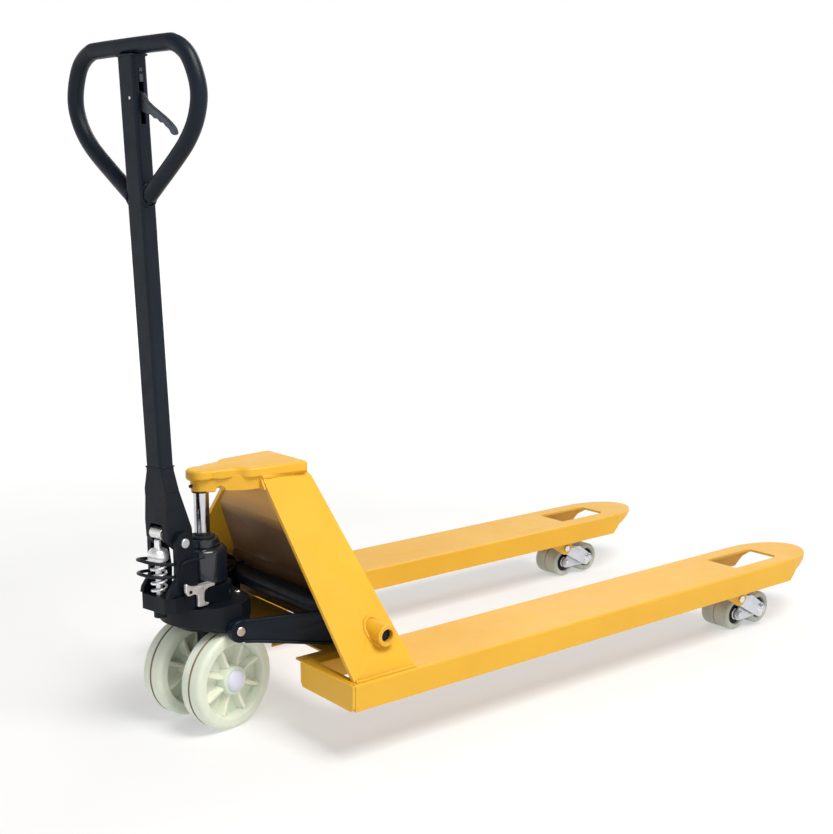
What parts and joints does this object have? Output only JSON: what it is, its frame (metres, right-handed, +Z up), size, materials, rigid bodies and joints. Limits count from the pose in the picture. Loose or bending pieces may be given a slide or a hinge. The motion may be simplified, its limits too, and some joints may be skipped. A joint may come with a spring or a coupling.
{
  "type": "pallet jack",
  "caption": "Hand pallet jack with two forks, a hydraulic pump unit, twin steering wheels, tandem load rollers and a tall tiller with a looped grip.",
  "frame": {"origin": "middle of the bounding box, on the floor", "axes": "+X towards the fork tips, +Y to the operator's left, +Z up"},
  "size_m": [1.56, 0.6848, 1.2046],
  "materials": {
    "paint": "gloss",
    "cover_paint": "gloss",
    "black": "semi-gloss",
    "chrome": "polished",
    "zinc": "zinc plated",
    "nylon": "satin",
    "cap": "satin"
  },
  "bodies": {
    "chassis": {"fork_right": "paint", "fork_left": "paint", "heel_plate_right": "paint", "heel_plate_left": "paint", "side_plate_right": "paint", "side_plate_left": "paint", "axle_boss_right": "paint", "axle_boss_left": "paint", "bridge_casting": "paint", "bridge_set_screw": "black", "piston_rod": "chrome", "front_cover": "cover_paint", "floor_plate": "paint"},
    "rocker": {"rocker_pin_right": "zinc", "rocker_pin_left": "zinc", "torsion_tube": "black", "rocker_arm_right": "black", "rocker_arm_left": "black", "rocker_lever_right": "black", "rocker_lever_left": "black"},
    "push_rod_right": {"push_rod_right": "black"},
    "push_rod_left": {"push_rod_left": "black"},
    "wheel_bracket_right": {"wheel_bracket_right": "zinc"},
    "wheel_bracket_left": {"wheel_bracket_left": "zinc"},
    "bogie_right": {"bogie_right": "zinc", "roller_bolt_right_rear": "zinc", "roller_bolt_right_front": "zinc"},
    "bogie_left": {"bogie_left": "zinc", "roller_bolt_left_rear": "zinc", "roller_bolt_left_front": "zinc"},
    "load_roller_right_rear": {"load_roller_right_rear": "nylon"},
    "load_roller_right_front": {"load_roller_right_front": "nylon"},
    "load_roller_left_rear": {"load_roller_left_rear": "nylon"},
    "load_roller_left_front": {"load_roller_left_front": "nylon"},
    "thrust": {"thrust_plate": "black", "thrust_screw_right": "zinc", "thrust_screw_left": "zinc"},
    "pump": {"pump_base": "black", "pump_body": "black", "gland_ring": "black", "steer_axle": "zinc", "guard_wire_upper": "black", "guard_wire_lower": "black", "plunger_spring": "zinc"},
    "steer_wheel_right": {"steer_wheel_right": "nylon", "hub_cap_right": "cap"},
    "steer_wheel_left": {"steer_wheel_left": "nylon", "hub_cap_left": "cap"},
    "plunger": {"pump_plunger": "zinc"},
    "handle": {"handle_tube": "black", "handle_yoke": "black", "handle_loop": "black", "handle_pivot_pin": "zinc", "cam_pin": "zinc", "trigger_pin": "zinc"},
    "cam_roller": {"cam_roller": "zinc"},
    "trigger": {"release_trigger": "zinc"},
    "pull_rod": {"pull_rod": "zinc"},
    "release_lever": {"release_lever": "zinc"}
  },
  "joints": [
    {"name": "lift", "type": "slide", "parent": "chassis", "child": "thrust", "axis": [0, 0, -1], "range_m": [-0.059, 0.03]},
    {"name": "rocker_turn", "type": "hinge", "parent": "chassis", "child": "rocker", "pos_m": [-0.44295, 0, 0.203], "axis": [0, -1, 0], "range_deg": [-24, 12.5]},
    {"name": "push_rod_right_tilt", "type": "hinge", "parent": "rocker", "child": "push_rod_right", "pos_m": [-0.44295, -0.2495, 0.118], "axis": [0, 1, 0], "range_deg": [-24, 12.5]},
    {"name": "bracket_right_swing", "type": "hinge", "parent": "chassis", "child": "wheel_bracket_right", "pos_m": [0.51305, -0.2638, 0.0795], "axis": [0, 1, 0], "range_deg": [-42, 22]},
    {"name": "bogie_right_tilt", "type": "hinge", "parent": "wheel_bracket_right", "child": "bogie_right", "pos_m": [0.59005, -0.2638, 0.033], "axis": [0, 1, 0], "range_deg": [-30, 45]},
    {"name": "load_roller_right_rear_spin", "type": "hinge", "parent": "bogie_right", "child": "load_roller_right_rear", "pos_m": [0.53205, -0.2638, 0.035], "axis": [0, 1, 0], "continuous": true},
    {"name": "load_roller_right_front_spin", "type": "hinge", "parent": "bogie_right", "child": "load_roller_right_front", "pos_m": [0.61005, -0.2638, 0.035], "axis": [0, 1, 0], "continuous": true},
    {"name": "push_rod_left_tilt", "type": "hinge", "parent": "rocker", "child": "push_rod_left", "pos_m": [-0.44295, 0.2495, 0.118], "axis": [0, 1, 0], "range_deg": [-24, 12.5]},
    {"name": "bracket_left_swing", "type": "hinge", "parent": "chassis", "child": "wheel_bracket_left", "pos_m": [0.51305, 0.2638, 0.0795], "axis": [0, 1, 0], "range_deg": [-42, 22]},
    {"name": "bogie_left_tilt", "type": "hinge", "parent": "wheel_bracket_left", "child": "bogie_left", "pos_m": [0.59005, 0.2638, 0.033], "axis": [0, 1, 0], "range_deg": [-30, 45]},
    {"name": "load_roller_left_rear_spin", "type": "hinge", "parent": "bogie_left", "child": "load_roller_left_rear", "pos_m": [0.53205, 0.2638, 0.035], "axis": [0, 1, 0], "continuous": true},
    {"name": "load_roller_left_front_spin", "type": "hinge", "parent": "bogie_left", "child": "load_roller_left_front", "pos_m": [0.61005, 0.2638, 0.035], "axis": [0, 1, 0], "continuous": true},
    {"name": "steering", "type": "hinge", "parent": "thrust", "child": "pump", "pos_m": [-0.62295, 0, 0.204], "axis": [0, 0, 1], "range_deg": [-102, 78]},
    {"name": "steer_wheel_right_spin", "type": "hinge", "parent": "pump", "child": "steer_wheel_right", "pos_m": [-0.61203, -0.05135, 0.09], "axis": [-0.2079, 0.9781, 0], "continuous": true},
    {"name": "steer_wheel_left_spin", "type": "hinge", "parent": "pump", "child": "steer_wheel_left", "pos_m": [-0.63387, 0.05135, 0.09], "axis": [-0.2079, 0.9781, 0], "continuous": true},
    {"name": "handle_tilt", "type": "hinge", "parent": "pump", "child": "handle", "pos_m": [-0.6968, -0.0157, 0.3554], "axis": [0.2079, -0.9781, 0], "range_deg": [0, 78], "stiffness_Nm_per_rad": 25, "springref_deg": -28.65},
    {"name": "cam_roller_spin", "type": "hinge", "parent": "handle", "child": "cam_roller", "pos_m": [-0.71979, -0.02058, 0.3725], "axis": [-0.2079, 0.9781, 0], "continuous": true},
    {"name": "plunger_stroke", "type": "slide", "parent": "pump", "child": "plunger", "axis": [0, 0, -1], "range_m": [0, 0.037], "stiffness_N_per_m": 400, "springref_m": -0.05, "deforming": ["plunger_spring"]},
    {"name": "trigger_pull", "type": "hinge", "parent": "handle", "child": "trigger", "pos_m": [-0.73176, -0.02926, 1.10862], "axis": [0.9775, 0.2078, 0.035], "range_deg": [-10, 10]},
    {"name": "pull_rod_travel", "type": "slide", "parent": "handle", "child": "pull_rod", "axis": [-0.0342, -0.0073, 0.9994], "range_m": [-0.004, 0.004]},
    {"name": "release_lever_swing", "type": "hinge", "parent": "pump", "child": "release_lever", "pos_m": [-0.68875, -0.06561, 0.27], "axis": [-0.2079, 0.9781, 0], "range_deg": [-8, 8]}
  ],
  "couplings": [
    {"joint": "rocker_turn", "follows": "lift", "rad_per_m": 6.17},
    {"joint": "push_rod_right_tilt", "follows": "lift", "rad_per_m": 6.0466},
    {"joint": "bracket_right_swing", "follows": "lift", "rad_per_m": 11.4},
    {"joint": "push_rod_left_tilt", "follows": "lift", "rad_per_m": 6.0466},
    {"joint": "bracket_left_swing", "follows": "lift", "rad_per_m": 11.4},
    {"joint": "plunger_stroke", "follows": "handle_tilt", "m_per_rad": 0.027},
    {"joint": "pull_rod_travel", "follows": "trigger_pull", "m_per_rad": 0.012},
    {"joint": "release_lever_swing", "follows": "trigger_pull", "ratio": 0.35}
  ]
}
